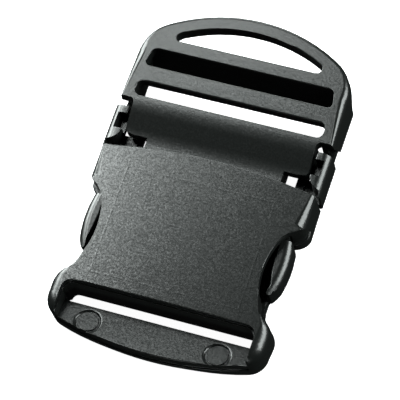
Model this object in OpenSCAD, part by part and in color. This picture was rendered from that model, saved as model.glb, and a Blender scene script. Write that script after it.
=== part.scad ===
// Side release buckle for wide webbing, fastened, lying on its back.
// X runs across the webbing, Y along it with the plug's arch at +Y, Z up out of the front face.
// The origin is at the bottom centre of the whole buckle.

/* [Overall] */
// Length of the fastened buckle, from the socket's lower bar to the top of the arch
total_l = 95.3; // [95:0.1:95.6]
// Width across the wings at the back, where they are widest
body_w = 59.8; // [59.6:0.1:60.2]
// Clear width of the webbing slots
web_w = 51.6; // [51.2:0.1:51.8]

/* [Plug] */
// Thickness of the plug's side rails, which rest on the back
rail_t = 10; // [9.8:0.1:10.2]
// Thickness of the thin arch plate
arch_t = 4; // [3.6:0.1:4.4]
// Width of the arch above the hand opening
arch_band = 3.7; // [3.4:0.1:4]
// Thickness of the bar between the two webbing slots
bar_t = 3.2; // [3:0.1:3.6]
// How far the saddle drops from the frame to the tongue
saddle_drop = 2.3; // [2.1:0.1:2.4]
// Thickness of the saddle and the tongue
tongue_t = 2.8; // [2.4:0.1:3]

/* [Socket] */
// How far the socket's front edge stands above the plug's frame
cover_rise = 0.5; // [0.4:0.1:0.7]
// Height of the crown in the middle of the cover
crown_h = 0.8; // [0.6:0.1:1]
// Thickness of the cover over the cavity
cover_t = 1.8; // [1.6:0.1:1.9]
// Thickness of the back plate
back_t = 1.4; // [1.2:0.1:1.5]
// Radius of the rolled front edge on the wings and lobes
roll_r = 3; // [2.6:0.1:3.2]
// Radius of the ring-shaped sink marks on the lower bar
mark_r = 3.9; // [3.6:0.1:4.1]

/* [Hidden] */
eps = 0.05;
// Lowest level of all is the back, so the plug's front face is at the rail's thickness
front_z = rail_t;
side_lean = 0.6;
half_w = body_w / 2 - side_lean;
half_l = total_l / 2;
slot_x = web_w / 2;

// Plug: levels along Y, counted from the middle of the buckle
arch_r = 45;
arch_c = [0, half_l - arch_r];
shoulder_x = half_w - 0.25;
shoulder_r = 11.5;
shoulder_c = [shoulder_x - shoulder_r,
              arch_c[1] + sqrt(pow(arch_r - shoulder_r, 2) - pow(shoulder_x - shoulder_r, 2))];
lens_y = half_l - 11;
lens_x = 20.1;
lens_end_r = 1.4;
slot2_y = [half_l - 19.6, half_l - 14.4];
slot2_top_x = slot_x - 0.7;
slot1_y = [half_l - 28.4, half_l - 24.1];
rail_end_y = half_l - 29.4;
rail_end_z = front_z - 3.5;
undercut_x = half_w - 1.9;
deep_y = half_l - 17;
saddle_x = slot_x - 0.75;
saddle_corner_r = 1.5;
fillet_r = 1.3;
tongue_x = 18.7;
saddle_end_y = half_l - 38.7;
tongue_end_y = -19.5;
channel_x = slot_x;
arm_x = half_w + 0.5;
cap_top_y = half_l - 31.8;
cap_end_y = half_l - 43.4;
cap_z = front_z - 0.8;
blade_x = [22.4, 25.8];
blade_z = [back_t + 0.3, front_z + cover_rise - cover_t - 0.4];
cap_wall_x = channel_x + 1.2;
cap_low_z = 5;
scoop_x = arm_x - 1.5;
scoop_y = [cap_top_y - 6.5, cap_top_y - 2.1];
floor_gap_y = [scoop_y[0] + 0.6, scoop_y[0] + 2.4];
neck_x = half_w - 0.6;
neck_z = 3;
strip_z = 3.4;
strip_x = 22;
arm_roll = 2.4;
button_roll = 2.4;

// Socket
cover_z = front_z + cover_rise;
mouth_y = half_l - 41.6;
mouth_r = 163;
cavity_x = 26.2;
cavity_y = -28;
waist_x = 24.7;
lower_y = -half_l;
slot4_y = -34.15;
bar_top_y = -38.15;
recess_x = slot_x + 0.2;
recess_r = 2.6;
// Width of the narrow ledge in the recess's wall, and its level
recess_step = [0.4, front_z - 0.6];
// Front surface of the lower bar: its height at the slot and how it climbs towards the bottom edge
bar_front_z = front_z - 5.1;
bar_slope = 0.27;
mark_at = [17.45, -42.55];
mark_depth = 0.4;
mark_lip_r = 0.9;

function unit(v) = v / norm(v);
function arc(c, r, a0, a1, n) =
    [for (i = [0:n]) let (a = a0 + (a1 - a0) * i / n) c + r * [cos(a), sin(a)]];
function mirrored(half) =
    concat(half, [for (i = [len(half) - 1:-1:0]) if (abs(half[i][0]) > eps) [-half[i][0], half[i][1]]]);
// Outward directions of an outline that runs anticlockwise
function outward(p) = let (n = len(p))
    [for (i = [0:n - 1]) let (t = unit(p[(i + 1) % n] - p[(i + n - 1) % n])) [t[1], -t[0]]];
function blend(a, b, t) = a + (b - a) * (t < 0 ? 0 : t > 1 ? 1 : t * t * (3 - 2 * t));

// A closed body through rings of equal length, listed from the lowest to the highest
module skin(rings) {
    n = len(rings[0]);
    m = len(rings);
    polyhedron(
        points = [for (r = rings) for (p = r) p],
        faces = concat(
            [[for (i = [0:n - 1]) i]],
            [for (k = [0:m - 2]) for (i = [0:n - 1]) let (j = (i + 1) % n)
                [k * n + i, (k + 1) * n + i, (k + 1) * n + j]],
            [for (k = [0:m - 2]) for (i = [0:n - 1]) let (j = (i + 1) % n)
                [k * n + i, (k + 1) * n + j, k * n + j]],
            [[for (i = [n - 1:-1:0]) (m - 1) * n + i]]),
        convexity = 8);
}

// The rings of a plate: at each point of its outline the front edge is rolled by front[i], the back
// edge by back[i], and the side leans out by lean[i] towards the back; rise is a crown's height
function plate_rings(outline, z0, z1, front, back, lean, steps, rise) =
    let (out = outward(outline), idx = [0:len(outline) - 1]) concat(
        [for (k = [0:3]) let (a = 90 * k / 3)
            [for (i = idx) let (q = outline[i] - out[i] * (back[i] * (1 - sin(a)) - lean[i]))
                [q[0], q[1], z0 + back[i] * (1 - cos(a))]]],
        [for (k = [0:steps]) let (a = 90 * k / steps)
            [for (i = idx) let (q = outline[i] - out[i] * front[i] * (1 - cos(a)))
                [q[0], q[1], z1 + (rise ? crown(q[0]) : 0) - front[i] * (1 - sin(a))]]]);

module rolled_plate(outline, z0, z1, front, back, lean, steps = 5) {
    skin(plate_rings(outline, z0, z1, front, back, lean, steps, false));
}

// Height of the cover's crown above its flat edge
function crown(x) = crown_h * (1 - pow(x / half_w, 2));

// The same plate with a crowned front: the outline is the +X half, from the middle of its lower
// edge to its last corner, and every point there is joined to its mirror image by a crowned row
module crowned_plate(half, z0, z1, front, back, lean, steps = 5, cols = 12) {
    outline = mirrored(half);
    n = len(outline);
    m = len(half) - 1;
    idx = [0:n - 1];
    plate = plate_rings(outline, z0, z1, front, back, lean, steps, true);
    // The foot goes on under the back, and is cut off level with it
    rings = concat([[for (p = plate[0]) [p[0], p[1], z0 - 1]]], plate);
    last = (len(rings) - 1) * n;
    edge = rings[len(rings) - 1];
    rows = [for (i = [1:m]) for (c = [1:cols - 1]) let (x = edge[i][0] * (1 - 2 * c / cols))
        [x, edge[i][1], z1 + crown(x)]];
    // Number of the point in row i and column c, where row 0 is the single middle point
    function at(i, c) = i == 0 ? last : c == 0 ? last + i : c == cols ? last + 2 * m + 1 - i
        : last + n + (i - 1) * (cols - 1) + c - 1;
    polyhedron(
        points = concat([for (r = rings) for (p = r) p], rows),
        faces = concat(
            [[for (i = idx) i]],
            [for (k = [0:len(rings) - 2]) for (i = idx) let (j = (i + 1) % n)
                [k * n + i, (k + 1) * n + i, (k + 1) * n + j]],
            [for (k = [0:len(rings) - 2]) for (i = idx) let (j = (i + 1) % n)
                [k * n + i, (k + 1) * n + j, k * n + j]],
            [for (c = [0:cols - 1]) [at(0, 0), at(1, c + 1), at(1, c)]],
            [for (i = [1:m - 1]) for (c = [0:cols - 1]) [at(i, c), at(i, c + 1), at(i + 1, c + 1)]],
            [for (i = [1:m - 1]) for (c = [0:cols - 1]) [at(i, c), at(i + 1, c + 1), at(i + 1, c)]],
            [[for (c = [0:cols]) at(m, c)]]),
        convexity = 8);
}

// A profile in Y and Z carried across the buckle from -x to +x
module across(x, profile) {
    translate([-x, 0, 0]) rotate([90, 0, 90]) linear_extrude(2 * x) polygon(profile);
}

module block(x0, x1, y0, y1, z0, z1) {
    translate([x0, y0, z0]) cube([x1 - x0, y1 - y0, z1 - z0]);
}

// An upright hole with rounded corners that narrows from half width x0 at y0 to x1 at y1
module slot_hole(x0, x1, y0, y1, r, z0, z1) {
    half = concat(arc([x0 - r, y0 + r], r, -90, 0, 4), arc([x1 - r, y1 - r], r, 0, 90, 4));
    translate([0, 0, z0]) linear_extrude(z1 - z0) polygon(mirrored(half));
}

// Plug: arched frame with two bars, ramped saddle, ribbed tongue and two spring arms
plug_half = concat(
    [[half_w, rail_end_y - 4]],
    arc(shoulder_c, shoulder_r, 0, 90 - asin(shoulder_c[0] / (arch_r - shoulder_r)), 9),
    arc(arch_c, arch_r, 90 - asin(shoulder_c[0] / (arch_r - shoulder_r)) + 3, 90, 8));
plug_outline = mirrored(plug_half);
plug_roll = [for (p = plug_outline) blend(2.3, 1.1, (p[1] - deep_y) / 9)];
plug_back = [for (p = plug_outline) 0.8];
plug_lean = [for (p = plug_outline) blend(side_lean, 0.3, (p[1] - deep_y - 3) / 6)];

module frame_blank() {
    difference() {
        rolled_plate(plug_outline, 0, front_z, plug_roll, plug_back, plug_lean, 4);
        // Everything under the rail's end is left to the arms and the saddle
        block(-40, 40, -40, rail_end_y, -1, front_z + 1);
        // The arch is a thin plate: its back is cut away up to the rounded start of the rails
        across(40, concat([[half_l + 5, -1], [half_l + 5, front_z - arch_t]],
            arc([deep_y + 6, front_z - arch_t - 5], 5, 90, 180, 5),
            [[deep_y - 1.5, -1]]));
        // The rails' outer ends are undercut, so that the light shows between them and the arms
        difference() {
            across(40, [[rail_end_y - 1, -1], [rail_end_y + 3, -1], [rail_end_y + 2.5, 0.3],
                [rail_end_y + 0.3, rail_end_z], [rail_end_y - 1, rail_end_z]]);
            block(-undercut_x, undercut_x, rail_end_y - 2, rail_end_y + 4, -2, rail_end_z + 1);
        }
        // Between the rails only the bars' own thickness stays
        block(-slot_x, slot_x, 0, deep_y + 4.2, -1, front_z - bar_t);
    }
}

module lens_hole() {
    r = arch_r - arch_band;
    end_a = acos(lens_x / r);
    top = [lens_x, arch_c[1] + r * sin(end_a)];
    half = concat(
        arc([lens_x - lens_end_r, lens_y + lens_end_r], lens_end_r, -90, 0, 4),
        [top - [0.1, 0.2]],
        arc(arch_c, r, end_a + 1.5, 90, 10));
    translate([0, 0, -1]) linear_extrude(front_z + 2) polygon(mirrored(half));
}

// The bar under the hand opening: its lower side leans back under the slot as a wedge
module wedge_bar() {
    y1 = slot2_y[1];
    across(slot_x + 0.6, [
        [y1, front_z - 0.8], [y1 - 2.5, 0.3], [y1 - 2.2, 0], [y1 + 0.1, 0],
        [lens_y - 0.6, front_z - bar_t - 0.4], [lens_y - 0.4, front_z - 0.8]]);
}

// The saddle's front surface: flat lip, rounded shoulder, ramp, and a hollow to the tongue's level
saddle_a = 17;
shoulder_bend = 13.7;
hollow_bend = 14;
ramp_l = (saddle_drop - (shoulder_bend + hollow_bend) * (1 - cos(saddle_a))) / tan(saddle_a);
saddle_y0 = half_l - 29.2;
saddle_y1 = saddle_y0 - shoulder_bend * sin(saddle_a);
saddle_y2 = saddle_y1 - ramp_l;
saddle_top = concat(
    [[slot1_y[0], front_z]],
    arc([saddle_y0, front_z - shoulder_bend], shoulder_bend, 90, 90 + saddle_a, 6),
    arc([saddle_y2 - hollow_bend * sin(saddle_a), front_z - saddle_drop + hollow_bend], hollow_bend,
        270 + saddle_a, 270, 6));

// Plan of the saddle and the tongue: full width above the mouth, with rounded lower corners, and a
// strip across its top that ties it to both rails
saddle_half = concat(
    [[0, tongue_end_y], [tongue_x - 3, tongue_end_y], [tongue_x, tongue_end_y + 5], [tongue_x, saddle_end_y]],
    arc([saddle_x - saddle_corner_r, saddle_end_y + saddle_corner_r], saddle_corner_r, -90, 0, 4),
    arc([saddle_x + fillet_r, rail_end_y - fillet_r], fillet_r, 180, 90, 4),
    [[slot_x + 0.6, slot1_y[0]], [0, slot1_y[0]]]);

module tongue() {
    top = front_z - saddle_drop;
    low = top - tongue_t;
    intersection() {
        across(40, concat(saddle_top,
            [[tongue_end_y - 1, top], [tongue_end_y - 1, low], [saddle_y2 - 3, low],
             [rail_end_y - 1.5, front_z - bar_t], [slot1_y[0], front_z - bar_t]]));
        translate([0, 0, -1]) linear_extrude(front_z + 3) polygon(mirrored(saddle_half));
    }
    // Ribs along the back of the tongue, the outer pair at its edges
    for (x = [-tongue_x + 0.7, -6, 6, tongue_x - 0.7])
        block(x - 0.7, x + 0.7, tongue_end_y + 5.5, saddle_end_y + 3, blade_z[0], low + eps);
    block(-tongue_x, tongue_x, saddle_end_y + 1.6, saddle_end_y + 3, blade_z[0], low + 0.6);
}

// Plan of the blade inside the socket and of the button, on the +X side
button_r = 29.45;
button_c = [-1.6, -15.1];
blade_y = -9.1;
button_outline = concat(
    [[blade_x[1], 3.6], [blade_x[1], blade_y]],
    arc([25.9, -10.4], 1.4, 75, 20, 4),
    [[27.9, -11.4], [28.8, -15.1], [28.2, -19.4], [26.7, -22.4], [26, -23.5]],
    arc([25.2, -23.8], 0.6, -10, -170, 3),
    [[24.9, -21.6], [24.1, -18], [23.8, -14.7], [23.9, -11.4], [23.3, -8],
     [blade_x[0], -4], [blade_x[0], 3.6]]);

// Blade and button: the button's outer side is a ring-shaped bulge with a rolled front edge
module blade() {
    profile = concat(
        [[15, blade_z[0]], [button_r - 0.4, blade_z[0]], [button_r, blade_z[0] + 0.4]],
        arc([button_r - button_roll, blade_z[1] - button_roll], button_roll, 0, 90, 6),
        [[15, blade_z[1]]]);
    intersection() {
        translate([0, 0, 1]) linear_extrude(front_z) polygon(button_outline);
        union() {
            translate([button_c[0], button_c[1], 0]) rotate_extrude($fn = 240) polygon(profile);
            block(15, blade_x[1], blade_y, half_l, blade_z[0], blade_z[1]);
        }
    }
}

// Cross-section of the arm's cap outside the socket: rolled at its outer front edge, its back
// part only an outer wall
module cap_section() {
    polygon(concat(
        [[cap_wall_x, 0.4], [cap_wall_x + 0.4, 0]],
        arc([arm_x - 0.8, 0.8], 0.8, -90, 0, 3),
        arc([arm_x - arm_roll, cap_z - arm_roll], arm_roll, 0, 90, 6),
        arc([channel_x + 0.3, cap_z - 0.3], 0.3, 90, 180, 2),
        [[channel_x, cap_low_z], [cap_wall_x, cap_low_z]]));
}

// The open scoop in the cap: a steep outer wall and a flat floor that runs out to the channel
module cap_scoop() {
    translate([0, scoop_y[1], 0]) rotate([90, 0, 0]) linear_extrude(scoop_y[1] - scoop_y[0])
        polygon([[scoop_x, cap_z + 1], [scoop_x, cap_z], [scoop_x - 1, cap_z - 3.4],
                 [channel_x - 1, cap_z - 3.4], [channel_x - 1, cap_z + 1]]);
}

// Beside the mouth the cap is cut away along a curve, so that it dips behind the cover
module cap_dip() {
    translate([0, 0, 3]) linear_extrude(front_z) polygon([
        [channel_x - 1, scoop_y[0] + 0.1], [channel_x - 0.1, scoop_y[0] + 0.1], [channel_x + 0.3, scoop_y[0] - 1.1],
        [channel_x + 0.9, scoop_y[0] - 2.2], [channel_x + 2, scoop_y[0] - 3],
        [arm_x - 0.6, scoop_y[0] - 3.5], [arm_x - 0.5, cap_end_y - 1], [channel_x - 1, cap_end_y - 1]]);
}

module right_arm() {
    difference() {
        translate([0, cap_top_y, 0]) rotate([90, 0, 0])
            linear_extrude(cap_top_y - cap_end_y) cap_section();
        cap_scoop();
        cap_dip();
    }
    blade();
    // Root of the blade behind the cover, which carries the cap's lower end
    block(blade_x[1] - 1, cap_wall_x + 1.2, cap_end_y, cap_end_y + 2.4, blade_z[0], 3);
    // Low strip from the blade to the saddle's underside, with a foot outside the socket
    block(strip_x, strip_x + 2, 3, slot1_y[0] - 0.4, blade_z[0], strip_z);
    block(strip_x, strip_x + 2, rail_end_y, slot1_y[0] - 0.4, blade_z[0], front_z - bar_t + 0.5);
    block(strip_x - 0.7, strip_x + 2, mouth_y + 0.5, rail_end_y + 1, 0, blade_z[0] + 0.3);
    // Floor between the strip and the cap's outer wall, left open in one place
    block(strip_x + 1, cap_wall_x + 0.3, cap_end_y, floor_gap_y[0], blade_z[0], strip_z - 0.3);
    block(strip_x + 1, cap_wall_x + 0.3, floor_gap_y[1], rail_end_y - 1.5, blade_z[0], strip_z - 0.3);
    // Neck that joins the cap to the rail behind the notch
    block(cap_wall_x, neck_x, cap_top_y - 1, rail_end_y + 4, 0, neck_z);
}

module plug() {
    color("#232526") {
        difference() {
            frame_blank();
            lens_hole();
            slot_hole(slot_x - 0.1, slot2_top_x, slot2_y[0], slot2_y[1], 1.3, -1, front_z + 1);
            slot_hole(slot_x, slot_x, slot1_y[0], slot1_y[1], 1.6, -1, front_z + 1);
        }
        wedge_bar();
        tongue();
        right_arm();
        mirror([1, 0, 0]) right_arm();
    }
}

// Socket: a hollow housing with a crowned cover, two side cut-outs and the lower webbing bar
lobe_r = 4.7;
flare_r = 6.6;
corner_r = 5.3;
lower_r = 86;
lobe_x = half_w - 0.05;
lobe_c = [lobe_x - lobe_r, -35.5];
corner_c = [lobe_x - corner_r, lower_y + lower_r - sqrt(pow(lower_r - corner_r, 2) - pow(lobe_x - corner_r, 2))];
flare_c = [waist_x + flare_r, lobe_c[1] + sqrt(pow(lobe_r + flare_r, 2) - pow(waist_x + flare_r - lobe_c[0], 2))];
flare_a = atan2(flare_c[1] - lobe_c[1], flare_c[0] - lobe_c[0]);
corner_a = atan2(corner_c[1] - lower_y - lower_r, corner_c[0]);
back_edge_x = 25.6;
wing_r = 3.4;
wing_y = -5.2;
socket_half = concat(
    arc([0, lower_y + lower_r], lower_r, -90, corner_a, 8),
    arc(corner_c, corner_r, corner_a + 12, 0, 6),
    arc(lobe_c, lobe_r, 0, flare_a, 5),
    arc(flare_c, flare_r, 180 + flare_a - 10, 180, 5),
    [[waist_x + 0.05, -24.6], [back_edge_x, -22], [back_edge_x, -9.8], [back_edge_x + 0.6, -8.7]],
    arc([half_w - wing_r, wing_y], wing_r, -62, 0, 6),
    [[half_w, mouth_y + 3]]);
socket_outline = mirrored(socket_half);
// Rolled on the wings and the lobes, nearly sharp along the cut-outs
socket_roll = [for (p = socket_outline)
    p[1] < -28 ? blend(1.2, roll_r, (abs(p[0]) - 20) / 6) * blend(0.16, 1, (-p[1] - 29) / 5.5)
    : p[1] < wing_y - 3.2 ? 0.35
    : blend(0.4, roll_r, (p[1] - wing_y + 2.6) / 3)];
// The lower edge is undercut by a wide round at the back, the rest has a small one
socket_back = [for (p = socket_outline) p[1] < -38 ? blend(2.8, 1, (abs(p[0]) - 8) / 18) : 1];
socket_lean = [for (p = socket_outline)
    p[1] < -38 ? 0 : p[1] < -30 ? 0.3 : p[1] < wing_y - 3.2 ? 0 : blend(0, side_lean, (p[1] - wing_y + 3.2) / 4)];

// The side cut-out in the cover: a shallow arc for the button that runs out beside the lobe
cut_r = 21.6;
cut_c = [44, -19];
ledge_z = 4;
wing_top_y = -3.6;
wing_top_r = 3.3;
ramp_y = -24.6;
ramp_r = 9.5;
module side_cut() {
    curve = concat(
        [[40, wing_top_y], [half_w + 0.5, wing_top_y]],
        arc([half_w - wing_top_r, wing_top_y - 0.4], wing_top_r, 0, -60, 5),
        [[25.9, -8.1]],
        arc(cut_c, cut_r, 180 - 25.5, 180 + 22, 12),
        [[24.3, -28.4], [25.1, -30.4], [26.4, -31.6], [40, -31.6]]);
    difference() {
        translate([0, 0, ledge_z]) linear_extrude(12) polygon(curve);
        // A hollow ramp climbs from the ledge to the lobe
        across(40, concat([[-33, ledge_z - 1], [-33, cover_z]],
            arc([ramp_y, ledge_z + ramp_r], ramp_r, 180 + 45, 270, 5), [[ramp_y, ledge_z - 1]]));
    }
    // Below the ledge only the button's own space is open
    translate([0, 0, back_t]) linear_extrude(ledge_z) polygon([
        [22.2, -9], [26, -9.2], [40, -8.8], [40, -22.2], [26.4, -23.8], [25.8, -24.8], [24.3, -24.8],
        [22.2, -27.4]]);
}

module cavity() {
    z0 = back_t;
    z1 = cover_z - cover_t;
    // Room for the tongue and the arms, open at the mouth
    block(-cavity_x, cavity_x, -13.2, mouth_y + 2, z0, z1);
    block(-waist_x + 1.4, waist_x - 1.4, cavity_y, 0, z0, z1);
}

module lower_slot() {
    slot_hole(slot_x, slot_x - 0.6, bar_top_y, slot4_y - recess_step[0], 1.6, -1, front_z);
}

module bar_recess() {
    // The lower bar lies under the cover's level, and its front climbs outwards. The recess's wall has
    // a narrow ledge just under the cover's edge
    run = 14;
    intersection() {
        across(40, [
            [slot4_y + 1, bar_front_z - 0.6], [bar_top_y, bar_front_z],
            [bar_top_y - run, bar_front_z + run * bar_slope], [bar_top_y - run, front_z + 4],
            [slot4_y + 1, front_z + 4]]);
        union() {
            recess_plan(recess_x - recess_step[0], slot4_y - recess_step[0], 0);
            recess_plan(recess_x, slot4_y, recess_step[1]);
        }
    }
}

// Upright prism as wide as the recess, with its upper corners rounded, from level z0 upwards
module recess_plan(x, y, z0) {
    translate([0, 0, z0]) linear_extrude(front_z + 4 - z0)
        polygon(mirrored(concat([[x, -half_l - 5]], arc([x - recess_r, y - recess_r], recess_r, 0, 90, 6))));
}

// Ring-shaped groove with a rounded outer lip round a flat disc
module sink_mark(x) {
    z = bar_front_z + (bar_top_y - mark_at[1]) * bar_slope;
    translate([x, mark_at[1], z]) rotate([-atan(bar_slope), 0, 0])
        rotate_extrude($fn = 64) polygon(concat(
            [[mark_r - 1.2, 0.5], [mark_r - 1.1, -mark_depth], [mark_r - 0.75, -mark_depth]],
            arc([mark_r, -mark_lip_r], mark_lip_r, 135, 90, 4), [[mark_r, 0.5]]));
}

module lip_step() {
    // The bottom edge is stepped: above the step the bar is a little shorter than below it
    step_z = front_z - 5.8;
    difference() {
        block(-recess_x, recess_x, lower_y - 2, lower_y + 9, step_z, front_z + 3);
        translate([0, lower_y + lower_r + 0.5, step_z - 1])
            cylinder(r = lower_r, h = 12, $fn = 360);
    }
}

module socket() {
    color("#1f2122") difference() {
        crowned_plate(socket_half, eps, cover_z, socket_roll, socket_back, socket_lean);
        block(-40, 40, lower_y - 5, mouth_y + 5, -4, 0);
        // The mouth's edge is an arc across the whole width
        difference() {
            block(-40, 40, mouth_y - 4, mouth_y + 6, -1, cover_z + 4);
            translate([0, mouth_y - mouth_r, -2]) cylinder(r = mouth_r, h = cover_z + 8, $fn = 720);
        }
        cavity();
        side_cut();
        mirror([1, 0, 0]) side_cut();
        lower_slot();
        bar_recess();
        lip_step();
        for (s = [-1, 1]) sink_mark(s * mark_at[0]);
    }
}

socket();
plug();
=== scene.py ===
import math

import bmesh
import bpy
import numpy as np
from mathutils import Matrix, Vector
from mathutils.bvhtree import BVHTree


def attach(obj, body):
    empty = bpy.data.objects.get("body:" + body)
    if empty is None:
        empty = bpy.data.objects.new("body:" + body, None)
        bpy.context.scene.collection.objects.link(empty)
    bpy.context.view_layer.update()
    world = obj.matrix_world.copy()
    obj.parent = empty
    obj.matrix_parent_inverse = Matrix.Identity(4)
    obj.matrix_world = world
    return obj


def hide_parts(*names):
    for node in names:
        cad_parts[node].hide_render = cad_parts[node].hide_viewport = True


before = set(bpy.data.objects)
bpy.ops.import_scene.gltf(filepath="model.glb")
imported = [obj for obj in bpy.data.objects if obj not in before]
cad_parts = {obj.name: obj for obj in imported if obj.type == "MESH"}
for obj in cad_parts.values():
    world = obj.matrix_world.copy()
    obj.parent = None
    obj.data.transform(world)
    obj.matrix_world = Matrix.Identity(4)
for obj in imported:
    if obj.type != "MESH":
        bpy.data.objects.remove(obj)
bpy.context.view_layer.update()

bl_info = {
    "name": "Side Release Buckle",
    "version": (1, 0, 0),
    "blender": (4, 5, 0),
    "location": "3D View > Sidebar > Buckle",
    "description": "Dresses the fastened side release buckle in moulded black acetal and sets its stage",
    "category": "Add Mesh",
}

MM = 0.001

# Corners of a CAD node nearer than this are merged, and faces that turn less than this are joined
WELD = 2e-6
FLAT_TURN = math.radians(0.05)

# Edges that turn more than this are rounded, in this many steps
SHARP_TURN = math.radians(28)
EDGE_SEGMENTS = 3

# A rounded mesh strays where the middle of a triangle, or a corner, is further from the unrounded
# surface than these shares of the edge radius. Triangles smaller than the sliver may face any way.
STRAY_MIDDLE = 0.3
STRAY_CORNER = 0.5
SLIVER_AREA = 1e-10

# Edges within this many radii of a stray place are rounded less, for so many rounds, of which the
# last ones leave them sharp. An edge with less than the least weight is left sharp too.
STRAY_REACH = 1.2
ROUNDS = 14
LAST_ROUNDS = 6
LEAST_WEIGHT = 0.1

# Faces that lean more than this from each other don't share their shading
CREASE = math.radians(50)

# The cover's crown: its height in the middle, and the half width at which it comes down to zero
CROWN_H = 0.8 * MM
CROWN_HALF_W = 29.3 * MM

# A face corner is on the crown where it is this near to the curve and its face turns less than this
CROWN_REACH = 0.06 * MM
CROWN_TURN = math.radians(3)

# The witness line on the cover: half its rectangle's width and length, the rectangle's middle, the
# line's height, and how far from its middle the line's top ends and its flank reaches the cover
WITNESS_HALF = (20.0 * MM, 14.9 * MM)
WITNESS_MIDDLE_Y = -16.1 * MM
WITNESS_H = 0.006 * MM
WITNESS_FLANK = (0.08 * MM, 0.3 * MM)

# Keeps a division by a length away from zero
TINY = 1e-12


# Settings

class BuckleFinish(bpy.types.PropertyGroup):
    """Edges and surface of the two mouldings"""
    edge_radius: bpy.props.FloatProperty(
        name="Edge radius", description="Largest radius of the moulded edges",
        default=0.0004, min=0.0001, max=0.0006, unit="LENGTH", precision=5)
    grain_size: bpy.props.FloatProperty(
        name="Grain size", description="Width at which one grain of the spark-eroded surface is drawn",
        default=0.0005, min=0.0001, max=0.002, unit="LENGTH", precision=5)
    grain_tilt: bpy.props.FloatProperty(
        name="Grain tilt", description="How far the grain leans the surface's normal",
        default=0.15, min=0.0, max=1.0, subtype="FACTOR", precision=3)
    roughness: bpy.props.FloatProperty(
        name="Roughness", description="Sheen of the moulded skin",
        default=0.29, min=0.05, max=1.0, subtype="FACTOR")
    body_colour: bpy.props.StringProperty(
        name="Body colour", description="Colour of the acetal as an sRGB hex value",
        default="#111312")


class BuckleStage(bpy.types.PropertyGroup):
    """Floor, light and camera"""
    floor_colour: bpy.props.StringProperty(
        name="Floor colour", description="Colour of the floor as an sRGB hex value", default="#fbfbfb")
    light_colour: bpy.props.StringProperty(
        name="Light colour", description="Colour of the soft boxes as an sRGB hex value", default="#f8fffd")
    lens: bpy.props.FloatProperty(
        name="Lens", description="Focal length on a 36 mm sensor",
        default=236.53, min=50, max=500, unit="CAMERA")
    distance: bpy.props.FloatProperty(
        name="Camera distance", description="From the camera to the point that it looks at",
        default=0.6688, min=0.3, max=2.0, unit="LENGTH", precision=4)
    roll: bpy.props.FloatProperty(
        name="Camera roll", description="Turn of the picture about the line of sight",
        default=math.radians(19.52), subtype="ANGLE")


# Materials

def linear(hex_colour):
    """sRGB hex to linear RGBA."""
    c = np.array([int(hex_colour[i:i + 2], 16) for i in (1, 3, 5)]) / 255
    lin = np.where(c <= 0.04045, c / 12.92, ((c + 0.055) / 1.055) ** 2.4)
    return (*map(float, lin), 1.0)


def add_node(tree, kind, inputs=None, links=None, **settings):
    """Adds a node with its settings, its input values and its links {input: (node, output)}."""
    node = tree.nodes.new(kind)
    for key, value in settings.items():
        setattr(node, key, value)
    for key, value in (inputs or {}).items():
        node.inputs[key].default_value = value
    for key, (source, output) in (links or {}).items():
        tree.links.new(source.outputs[output], node.inputs[key])
    return node


def grained_normal(tree, place, finish):
    """The surface's normal, leant at every place its own way by the three channels of a noise's colour."""
    grain = add_node(tree, "ShaderNodeTexNoise",
                     {"Scale": 1 / finish.grain_size, "Detail": 1.0, "Roughness": 0.5},
                     {"Vector": (place, "Object")})
    centred = add_node(tree, "ShaderNodeVectorMath", {1: (0.5, 0.5, 0.5)}, {0: (grain, "Color")},
                       operation="SUBTRACT")
    lean = add_node(tree, "ShaderNodeVectorMath", {"Scale": finish.grain_tilt}, {0: (centred, 0)},
                    operation="SCALE")
    face = add_node(tree, "ShaderNodeNewGeometry")
    leaning = add_node(tree, "ShaderNodeVectorMath", links={0: (face, "Normal"), 1: (lean, 0)},
                       operation="ADD")
    return add_node(tree, "ShaderNodeVectorMath", links={0: (leaning, 0)}, operation="NORMALIZE")


def witness_line(tree, place):
    """A height of 1 along the outline of a rectangle on the cover, and 0 away from it.

    On each axis, |place - middle| - half is the distance past the rectangle's side. The larger of
    the two is zero on the outline, and its size is the distance from the outline near it."""
    axes = add_node(tree, "ShaderNodeSeparateXYZ", links={"Vector": (place, "Object")})
    past = []
    for axis, middle, half in (("X", 0.0, WITNESS_HALF[0]), ("Y", WITNESS_MIDDLE_Y, WITNESS_HALF[1])):
        shifted = add_node(tree, "ShaderNodeMath", {1: middle}, {0: (axes, axis)}, operation="SUBTRACT")
        away = add_node(tree, "ShaderNodeMath", links={0: (shifted, 0)}, operation="ABSOLUTE")
        past.append(add_node(tree, "ShaderNodeMath", {1: half}, {0: (away, 0)}, operation="SUBTRACT"))
    larger = add_node(tree, "ShaderNodeMath", links={0: (past[0], 0), 1: (past[1], 0)},
                      operation="MAXIMUM")
    near = add_node(tree, "ShaderNodeMath", links={0: (larger, 0)}, operation="ABSOLUTE")
    return add_node(tree, "ShaderNodeMapRange",
                    {"From Min": WITNESS_FLANK[0], "From Max": WITNESS_FLANK[1],
                     "To Min": 1.0, "To Max": 0.0},
                    {"Value": (near, 0)}, interpolation_type="SMOOTHSTEP")


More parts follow.
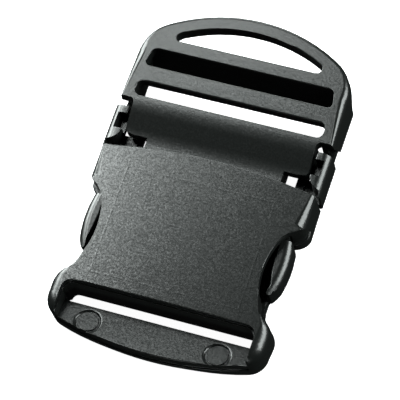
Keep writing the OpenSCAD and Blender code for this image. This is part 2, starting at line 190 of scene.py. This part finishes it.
def acetal_moulded():
    """Black acetal (POM), injection moulded against a finely spark-eroded steel tool.

    The eye sees a deep grey-black with a satin sheen that spreads wide over the broad faces,
    broken up by a fine even grain. Such a tool's grain is near 0.1 mm wide, too fine to show from
    the camera, so it is drawn as coarse as it needs to show, at the width in the settings. The
    tool's face insert leaves a rectangular witness line on the cover."""
    finish = bpy.context.scene.buckle_finish
    mat = bpy.data.materials.new("acetal_moulded")
    mat.use_nodes = True
    tree = mat.node_tree
    tree.nodes.clear()
    place = add_node(tree, "ShaderNodeTexCoord")
    skin = grained_normal(tree, place, finish)
    line = witness_line(tree, place)
    bump = add_node(tree, "ShaderNodeBump", {"Strength": 1.0, "Distance": WITNESS_H},
                    {"Height": (line, "Result"), "Normal": (skin, 0)})
    shader = add_node(tree, "ShaderNodeBsdfPrincipled",
                      {"Base Color": linear(finish.body_colour), "Roughness": finish.roughness,
                       "IOR": 1.48},
                      {"Normal": (bump, "Normal")})
    add_node(tree, "ShaderNodeOutputMaterial", links={"Surface": (shader, "BSDF")})
    return mat


def shared_material(name, make):
    """The material of that name, made when the first piece asks for it."""
    return bpy.data.materials.get(name) or make()


# Meshes

def merged_copy(node, name):
    """A copy of a CAD node, with its doubled corners merged and its flat faces joined."""
    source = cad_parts[node]
    mesh = bpy.data.meshes.new(name)
    bm = bmesh.new()
    bm.from_mesh(source.data)
    bmesh.ops.remove_doubles(bm, verts=bm.verts, dist=WELD)
    bmesh.ops.dissolve_degenerate(bm, edges=bm.edges, dist=WELD)
    bmesh.ops.dissolve_limit(bm, angle_limit=FLAT_TURN, verts=bm.verts, edges=bm.edges)
    bm.to_mesh(mesh)
    bm.free()
    for face in mesh.polygons:
        face.use_smooth = True
    piece = bpy.data.objects.new(name, mesh)
    bpy.context.scene.collection.objects.link(piece)
    return piece


def sharp_edges(mesh):
    """1 for every edge that turns sharply, and 0 for the others."""
    bm = bmesh.new()
    bm.from_mesh(mesh)
    sharp = np.array([float(edge.calc_face_angle(0.0) > SHARP_TURN) for edge in bm.edges])
    bm.free()
    return sharp


def stray_places(piece, surface, radius):
    """Corners of the rounded mesh that stray from the unrounded surface.

    All three corners of a triangle stray where its middle is too far away or it faces the other
    way. In any other triangle, each corner that is too far away strays."""
    graph = bpy.context.evaluated_depsgraph_get()
    graph.update()
    rounded = piece.evaluated_get(graph)
    mesh = rounded.to_mesh()
    mesh.calc_loop_triangles()
    strays = []
    for tri in mesh.loop_triangles:
        corners = [mesh.vertices[i].co.copy() for i in tri.vertices]
        _, facing, _, away = surface.find_nearest(sum(corners, Vector()) / 3)
        if away > STRAY_MIDDLE * radius or (tri.area > SLIVER_AREA and facing.dot(tri.normal) < 0):
            strays += corners
        else:
            strays += [c for c in corners if surface.find_nearest(c)[3] > STRAY_CORNER * radius]
    rounded.to_mesh_clear()
    return np.array(strays)


def gap_to_places(ends, places):
    """Distance from every edge to the nearest of the places, by the foot of the perpendicular."""
    along = ends[:, 1] - ends[:, 0]
    squared = np.maximum((along ** 2).sum(1), TINY ** 2)
    gap = np.full(len(along), np.inf)
    for place in places:
        foot = np.clip(((place - ends[:, 0]) * along).sum(1) / squared, 0, 1)
        gap = np.minimum(gap, np.linalg.norm(ends[:, 0] + along * foot[:, None] - place, axis=1))
    return gap


def round_edges(piece, radius):
    """Rounds the sharp edges by the radius, and by less where a small feature leaves no room for it.

    Every sharp edge starts with full weight. Wherever the rounded mesh strays from the unrounded
    surface, the edges near that place get half the weight, and none in the last rounds. Much of the
    edge length ends up narrower or sharp, and a few triangles may still stray after the last round."""
    mesh = piece.data
    places = [v.co.copy() for v in mesh.vertices]
    surface = BVHTree.FromPolygons(places, [tuple(p.vertices) for p in mesh.polygons])
    weight = sharp_edges(mesh)
    ends = np.empty(len(mesh.edges) * 2, dtype=np.int32)
    mesh.edges.foreach_get("vertices", ends)
    ends = np.array(places)[ends].reshape(-1, 2, 3)
    stored = mesh.attributes.new("bevel_weight_edge", "FLOAT", "EDGE")
    bevel = piece.modifiers.new("edges", "BEVEL")
    bevel.width = radius
    bevel.segments = EDGE_SEGMENTS
    bevel.limit_method = "WEIGHT"
    bevel.use_clamp_overlap = False
    for step in range(ROUNDS):
        stored.data.foreach_set("value", weight)
        strays = stray_places(piece, surface, radius)
        if not len(strays):
            break
        near = gap_to_places(ends, strays) < STRAY_REACH * radius
        weight[near] *= 0.5 if step < ROUNDS - LAST_ROUNDS else 0
        weight[weight < LEAST_WEIGHT] = 0


def applied(piece):
    """Turns the piece's modifiers into its mesh."""
    graph = bpy.context.evaluated_depsgraph_get()
    mesh = bpy.data.meshes.new_from_object(piece.evaluated_get(graph), depsgraph=graph)
    piece.modifiers.clear()
    piece.data = mesh
    return piece


def mesh_arrays(mesh):
    """Face corners' vertex numbers, vertex places, face corners' face numbers, face normals and areas."""
    index = np.empty(len(mesh.loops), dtype=np.int32)
    verts, normals = np.empty(len(mesh.vertices) * 3), np.empty(len(mesh.polygons) * 3)
    sides, areas = np.empty(len(mesh.polygons), dtype=np.int32), np.empty(len(mesh.polygons))
    mesh.loops.foreach_get("vertex_index", index)
    mesh.vertices.foreach_get("co", verts)
    mesh.polygons.foreach_get("normal", normals)
    mesh.polygons.foreach_get("loop_total", sides)
    mesh.polygons.foreach_get("area", areas)
    face = np.repeat(np.arange(len(sides)), sides)
    return index, verts.reshape(-1, 3), face, normals.reshape(-1, 3), areas


def weighted_normals(mesh):
    """Shading normals for a mesh of small rounded facets between large flat faces.

    The normal of a face corner is the sum of the normals of all the faces at that vertex that lean
    less than the crease angle away from its own face, each times the face's area, made one long. A
    large face so keeps its own normal, and the rounded strips beside it turn evenly into it."""
    index, _, face, normals, areas = mesh_arrays(mesh)
    order = np.argsort(index, kind="stable")
    vert, own = index[order], normals[face[order]]
    pull = own * areas[face[order]][:, None]
    total = pull.copy()
    near = math.cos(CREASE)
    for step in range(1, int(np.bincount(index).max())):
        same = vert[step:] == vert[:-step]
        same &= (own[step:] * own[:-step]).sum(1) > near
        total[step:][same] += pull[:-step][same]
        total[:-step][same] += pull[step:][same]
    total /= np.maximum(np.linalg.norm(total, axis=1, keepdims=True), TINY)
    corners = np.empty_like(total)
    corners[order] = total
    return corners


def crown_normals(mesh, corners):
    """Gives the crowned cover the exact normals of its curve, in place of those of its facets.

    The crown is z = top - CROWN_H * (x / CROWN_HALF_W) ** 2, so its normal leans sideways by
    2 * CROWN_H * x / CROWN_HALF_W ** 2. Every face corner that lies on that surface gets it."""
    index, verts, face, normals, _ = mesh_arrays(mesh)
    place = verts[index]
    lean = 2 * CROWN_H * place[:, 0] / CROWN_HALF_W ** 2
    exact = np.stack([lean, np.zeros(len(index)), np.ones(len(index))], 1)
    exact /= np.linalg.norm(exact, axis=1, keepdims=True)
    height = verts[:, 2].max() - CROWN_H * (place[:, 0] / CROWN_HALF_W) ** 2
    along = (normals[face] * exact).sum(1)
    on_crown = (np.abs(place[:, 2] - height) < CROWN_REACH) & (along > math.cos(CROWN_TURN))
    corners[on_crown] = exact[on_crown]
    return corners


def shade(piece, crowned):
    """Applies the modifiers and stores the shading normals, with the crown's own on the cover."""
    mesh = applied(piece).data
    corners = weighted_normals(mesh)
    if crowned:
        corners = crown_normals(mesh, corners)
    mesh.normals_split_custom_set(corners)


def hand_over(piece, node, mat):
    """Gives the piece its material and its body, and hides the CAD node that it stands in for."""
    piece.data.materials.append(mat)
    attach(piece, "root")
    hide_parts(node)


def make_moulding(node, name, crowned=False):
    """The moulding that stands in for a CAD node, from its mesh to its material."""
    piece = merged_copy(node, name)
    round_edges(piece, bpy.context.scene.buckle_finish.edge_radius)
    shade(piece, crowned)
    hand_over(piece, node, shared_material("acetal_moulded", acetal_moulded))


# Pieces

class BUCKLE_OT_socket(bpy.types.Operator):
    """The socket: crowned cover, side wings and lobes, cavity, lower slot and bar"""
    bl_idname = "buckle.socket"
    bl_label = "Socket"

    def execute(self, context):
        make_moulding("socket", "socket_moulding", crowned=True)
        return {"FINISHED"}


class BUCKLE_OT_plug(bpy.types.Operator):
    """The plug: bow, webbing bars, saddle, tongue and the two arms with their buttons"""
    bl_idname = "buckle.plug"
    bl_label = "Plug"

    def execute(self, context):
        make_moulding("plug", "plug_moulding")
        return {"FINISHED"}


# Stage

# The photograph's view: the direction from the point looked at to the camera, and that point
LINE_OF_SIGHT = Vector((0.2632, -0.3323, 0.9057)).normalized()
LOOKED_AT = Vector((0.875, -4.947, 10.0)) * MM
SENSOR_W = 36.0
CLIP_RANGE = (0.01, 20.0)

# Half the floor's width (m), the paper's own glow, which keeps it white, and the light from all round
FLOOR_HALF = 1.5
PAPER_GLOW = 1.0
SKY_STRENGTH = 0.01

# Soft boxes, which all face the frame's origin: place seen from there (m), width and height (m) and
# power (W). The first four stand at the upper left, and give the sheen that fades towards the lower
# right. The others stand at the top, the right and the lower edge.
LIGHTS = {
    "key": ((-0.30, 0.18, 0.45), 0.12, 0.12, 1.5),
    "key_fill": ((-0.16, 0.28, 0.45), 0.12, 0.12, 0.6),
    "left": ((-0.40, 0.19, 0.20), 0.24, 0.2, 3.0),
    "low_left": ((-0.39, 0.24, 0.06), 0.24, 0.12, 1.4),
    "back": ((-0.12, 0.43, 0.08), 0.2, 0.14, 0.8),
    "low_right": ((0.41, 0.15, 0.18), 0.28, 0.3, 3.4),
    "far_right": ((0.54, 0.42, 0.45), 0.2, 0.2, 0.8),
    "front": ((0.08, -0.45, 0.05), 0.25, 0.08, 0.9),
}


def soft_box(name, place, width, height, power):
    """A rectangular lamp that faces the frame's origin."""
    data = bpy.data.lights.new(name, "AREA")
    data.shape = "RECTANGLE"
    data.size, data.size_y, data.energy = width, height, power
    data.color = linear(bpy.context.scene.buckle_stage.light_colour)[:3]
    lamp = bpy.data.objects.new(name, data)
    lamp.location = place
    lamp.rotation_euler = Vector(place).to_track_quat("Z", "Y").to_euler()
    bpy.context.scene.collection.objects.link(lamp)


def paper_white():
    """Matt white paper sweep under studio light: an even white without texture."""
    mat = bpy.data.materials.new("paper_white")
    mat.use_nodes = True
    tree = mat.node_tree
    tree.nodes.clear()
    colour = linear(bpy.context.scene.buckle_stage.floor_colour)
    shader = add_node(tree, "ShaderNodeBsdfPrincipled",
                      {"Base Color": colour, "Roughness": 0.9, "Specular IOR Level": 0.1,
                       "Emission Color": colour, "Emission Strength": PAPER_GLOW})
    add_node(tree, "ShaderNodeOutputMaterial", links={"Surface": (shader, "BSDF")})
    return mat


def add_floor(scene):
    """The pale floor at the height of the buckle's back."""
    mesh = bpy.data.meshes.new("floor")
    corners = [(x * FLOOR_HALF, y * FLOOR_HALF, 0) for x, y in ((-1, -1), (1, -1), (1, 1), (-1, 1))]
    mesh.from_pydata(corners, [], [(0, 1, 2, 3)])
    floor = bpy.data.objects.new("floor", mesh)
    scene.collection.objects.link(floor)
    mesh.materials.append(paper_white())
    # The buckle's gloss shows the dark studio beside the soft boxes, not the lit paper
    floor.visible_glossy = False
    floor.visible_diffuse = False


def add_sky(scene):
    """A faint white light from all round."""
    world = bpy.data.worlds.new("studio")
    world.use_nodes = True
    sky = world.node_tree.nodes["Background"]
    sky.inputs["Color"].default_value = (1, 1, 1, 1)
    sky.inputs["Strength"].default_value = SKY_STRENGTH
    scene.world = world


def add_camera(scene, stage):
    """The camera on the line of sight, rolled about it."""
    data = bpy.data.cameras.new("camera")
    data.lens, data.sensor_width = stage.lens, SENSOR_W
    data.clip_start, data.clip_end = CLIP_RANGE
    camera = bpy.data.objects.new("camera", data)
    right = Vector((0, 1, 0)).cross(LINE_OF_SIGHT).normalized()
    up = LINE_OF_SIGHT.cross(right)
    c, s = math.cos(stage.roll), math.sin(stage.roll)
    right, up = right * c + up * s, up * c - right * s
    turn = Matrix((right, up, LINE_OF_SIGHT)).transposed()
    camera.matrix_world = Matrix.Translation(LOOKED_AT + LINE_OF_SIGHT * stage.distance) @ turn.to_4x4()
    scene.collection.objects.link(camera)
    scene.camera = camera


class BUCKLE_OT_stage(bpy.types.Operator):
    """Pale floor, soft boxes and the camera at the photograph's angle"""
    bl_idname = "buckle.stage"
    bl_label = "Stage"

    def execute(self, context):
        scene = context.scene
        add_floor(scene)
        add_sky(scene)
        for name, spec in LIGHTS.items():
            soft_box(name, *spec)
        add_camera(scene, scene.buckle_stage)
        scene.view_settings.view_transform = "Standard"
        return {"FINISHED"}


class BUCKLE_PT_panel(bpy.types.Panel):
    """Settings of the buckle and its stage, and the operators that make them"""
    bl_idname = "BUCKLE_PT_panel"
    bl_label = "Side Release Buckle"
    bl_space_type = "VIEW_3D"
    bl_region_type = "UI"
    bl_category = "Buckle"

    def draw(self, context):
        scene, layout = context.scene, self.layout
        for settings in (scene.buckle_finish, scene.buckle_stage):
            for key in settings.__annotations__:
                layout.prop(settings, key)
        for op in OPERATORS:
            layout.operator(op.bl_idname)


OPERATORS = (BUCKLE_OT_socket, BUCKLE_OT_plug, BUCKLE_OT_stage)
CLASSES = (BuckleFinish, BuckleStage, *OPERATORS, BUCKLE_PT_panel)


def register():
    for cls in CLASSES:
        bpy.utils.register_class(cls)
    bpy.types.Scene.buckle_finish = bpy.props.PointerProperty(type=BuckleFinish)
    bpy.types.Scene.buckle_stage = bpy.props.PointerProperty(type=BuckleStage)


def unregister():
    del bpy.types.Scene.buckle_stage
    del bpy.types.Scene.buckle_finish
    for cls in reversed(CLASSES):
        bpy.utils.unregister_class(cls)


def main():
    register()
    bpy.ops.buckle.socket()
    bpy.ops.buckle.plug()
    bpy.ops.buckle.stage()


if __name__ == "__main__":
    main()
